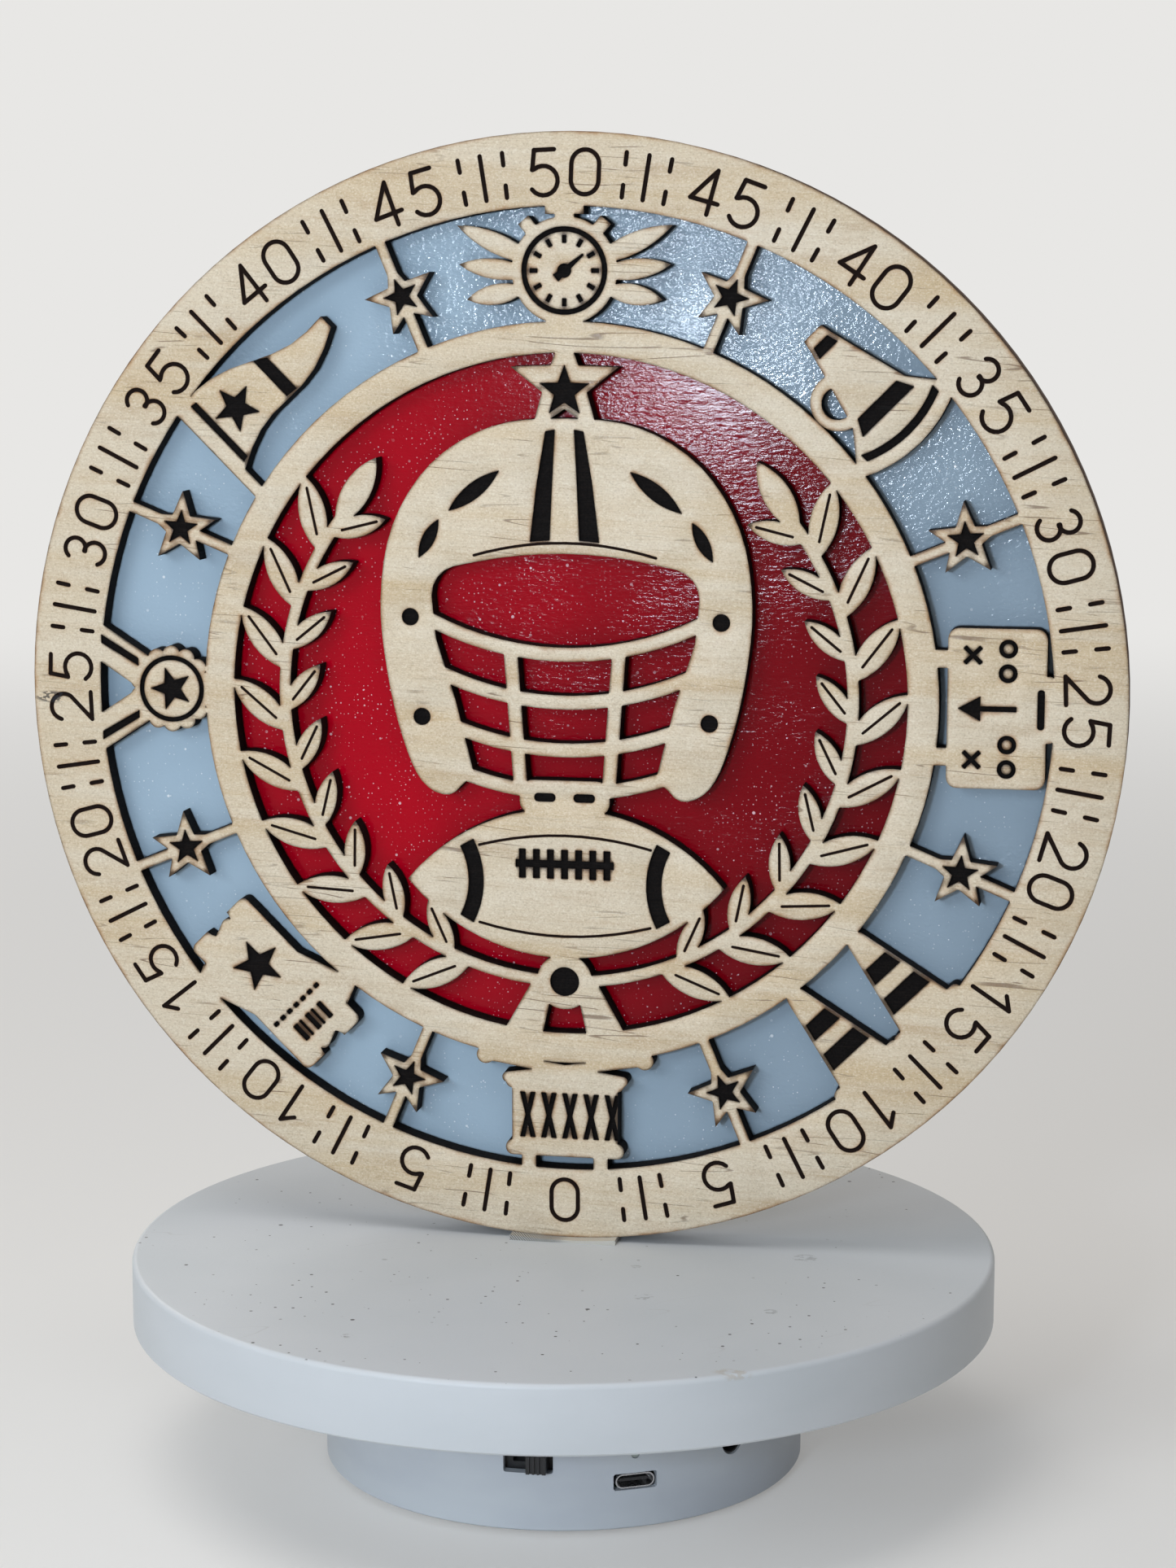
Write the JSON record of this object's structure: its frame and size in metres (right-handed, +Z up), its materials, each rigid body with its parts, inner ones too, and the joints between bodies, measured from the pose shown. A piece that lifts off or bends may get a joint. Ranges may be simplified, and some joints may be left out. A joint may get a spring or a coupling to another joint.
{
  "type": "display turntable with round football sign",
  "caption": "Round layered fretwork football sign standing on a white motorised display turntable.",
  "frame": {"origin": "on the turntable's axis, at the surface that the feet stand on", "axes": "+Z up along the turning axis, -Y to the front of the sign, +X to its right"},
  "size_m": [0.254, 0.2, 0.3049],
  "materials": {
    "face_ply": "satin lacquer over pale pine-faced ply, burnt dark at the cuts",
    "grey_paint": "gloss paint, blue-grey",
    "red_paint": "gloss paint, deep red",
    "back_ply": "bare ply",
    "clear_gel": "clear, soft",
    "white_plastic": "matt white moulding",
    "gear_plastic": "natural acetal",
    "steel": "bright",
    "brass": "plain",
    "rubber": "matt",
    "board_green": "solder resist",
    "black_plastic": "matt black moulding",
    "lamp": "milky",
    "cell_wrap": "foil pouch",
    "lead_cover": "soft insulation"
  },
  "bodies": {
    "stand": {"lower_race": "steel", "flanged_bush": "brass", "base_housing": "white_plastic", "bottom_cover": "white_plastic", "rubber_feet": "rubber", "cover_screws": "steel", "gearbox": "steel", "gear_motor": "steel", "motor_screws": "steel", "circuit_board": "board_green", "board_screws": "steel", "usb_shell": "steel", "usb_tongue": "black_plastic", "switch_body": "black_plastic", "indicator_led": "lamp", "jack_body": "black_plastic", "jack_pin": "steel", "lead_sockets": "white_plastic", "battery": "cell_wrap", "motor_leads": "lead_cover", "battery_leads": "lead_cover"},
    "platter": {"face_panel": "face_ply", "picture_ring_panel": "grey_paint", "centre_panel": "red_paint", "backing_board": "back_ply", "mounting_strip": "clear_gel", "platter": "white_plastic", "drive_gear": "gear_plastic", "gear_screws": "steel", "spindle": "steel", "upper_race": "steel", "thrust_washer": "gear_plastic", "retaining_clip": "steel"},
    "ball_ring": {"ball_cage": "black_plastic", "bearing_balls": "steel"},
    "pinion": {"output_shaft": "steel", "pinion": "gear_plastic"},
    "switch_knob": {"switch_knob": "black_plastic"}
  },
  "joints": [
    {"name": "platter_spin", "type": "hinge", "parent": "stand", "child": "platter", "pos_m": [0, 0, 0.0503], "axis": [0, 0, 1], "continuous": true},
    {"name": "pinion_spin", "type": "hinge", "parent": "stand", "child": "pinion", "pos_m": [0, 0.0342, 0.04], "axis": [0, 0, 1], "continuous": true},
    {"name": "ball_ring_roll", "type": "hinge", "parent": "stand", "child": "ball_ring", "pos_m": [0, 0, 0.04], "axis": [0, 0, 1], "continuous": true},
    {"name": "switch_slide", "type": "slide", "parent": "stand", "child": "switch_knob", "axis": [0.9986, 0.0523, 0], "range_m": [-0.004, 0]}
  ],
  "couplings": [
    {"joint": "pinion_spin", "follows": "platter_spin", "ratio": -3.75},
    {"joint": "ball_ring_roll", "follows": "platter_spin", "ratio": 0.5}
  ]
}
